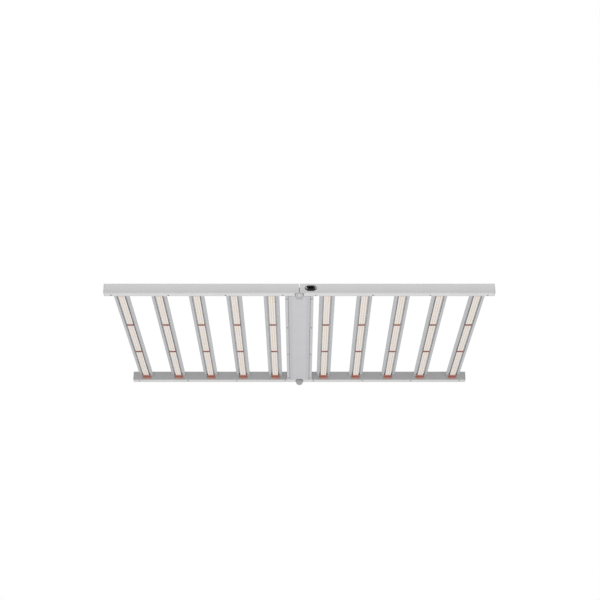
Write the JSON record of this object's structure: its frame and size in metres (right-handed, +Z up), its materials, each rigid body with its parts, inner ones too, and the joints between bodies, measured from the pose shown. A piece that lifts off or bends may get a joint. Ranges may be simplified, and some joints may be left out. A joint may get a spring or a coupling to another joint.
{
  "type": "led grow light",
  "caption": "Folding LED grow light: finned aluminium LED bars between hinged half rails, with a driver box over the fold and a mains inlet in the front rail.",
  "frame": {"origin": "below the middle of the open light, level with the lowest point of the hinge knuckles", "axes": "+X along the rails towards the wing with the driver box and inlet, +Y along the bars away from the inlet side, +Z up, away from the LED side"},
  "size_m": [1.7, 1.1028, 0.0749],
  "materials": {
    "silver_paint": "satin silver powder coat on aluminium",
    "anodised": "satin clear anodised extrusion",
    "led_board": "white solder mask with cream LED packages",
    "red_silicone": "matt brick-red silicone",
    "zinc_steel": "zinc-plated steel",
    "driver_case": "plain aluminium case",
    "black_plastic": "moulded black nylon"
  },
  "bodies": {
    "right_wing": {"right_front_rail": "silver_paint", "right_front_rail_cover": "silver_paint", "right_front_end_cap": "silver_paint", "right_front_hanging_insert": "zinc_steel", "right_front_hinge_leaf": "zinc_steel", "right_rear_rail": "silver_paint", "right_rear_rail_cover": "silver_paint", "right_rear_end_cap": "silver_paint", "right_rear_hanging_insert": "zinc_steel", "right_rear_hinge_leaf": "zinc_steel", "right_bar_1": "anodised", "right_led_board_1": "led_board", "right_seal_1": "red_silicone", "right_bar_2": "anodised", "right_led_board_2": "led_board", "right_seal_2": "red_silicone", "right_bar_3": "anodised", "right_led_board_3": "led_board", "right_seal_3": "red_silicone", "right_bar_4": "anodised", "right_led_board_4": "led_board", "right_seal_4": "red_silicone", "right_bar_5": "anodised", "right_led_board_5": "led_board", "right_seal_5": "red_silicone", "front_hinge_pin": "zinc_steel", "front_hinge_nut": "zinc_steel", "driver_front_end_plate": "silver_paint", "rear_hinge_pin": "zinc_steel", "rear_hinge_nut": "zinc_steel", "driver_rear_end_plate": "silver_paint", "driver_cover": "silver_paint", "driver_housing": "silver_paint", "led_driver": "driver_case", "power_inlet": "black_plastic"},
    "left_wing": {"left_front_rail": "silver_paint", "left_front_rail_cover": "silver_paint", "left_front_end_cap": "silver_paint", "left_front_hanging_insert": "zinc_steel", "left_front_hinge_leaf": "zinc_steel", "left_rear_rail": "silver_paint", "left_rear_rail_cover": "silver_paint", "left_rear_end_cap": "silver_paint", "left_rear_hanging_insert": "zinc_steel", "left_rear_hinge_leaf": "zinc_steel", "left_bar_1": "anodised", "left_led_board_1": "led_board", "left_seal_1": "red_silicone", "left_bar_2": "anodised", "left_led_board_2": "led_board", "left_seal_2": "red_silicone", "left_bar_3": "anodised", "left_led_board_3": "led_board", "left_seal_3": "red_silicone", "left_bar_4": "anodised", "left_led_board_4": "led_board", "left_seal_4": "red_silicone", "left_bar_5": "anodised", "left_led_board_5": "led_board", "left_seal_5": "red_silicone"}
  },
  "joints": [
    {"name": "wing_fold", "type": "hinge", "parent": "right_wing", "child": "left_wing", "pos_m": [0, 0, 0.017], "axis": [0, -1, 0], "range_deg": [0, 180]}
  ]
}
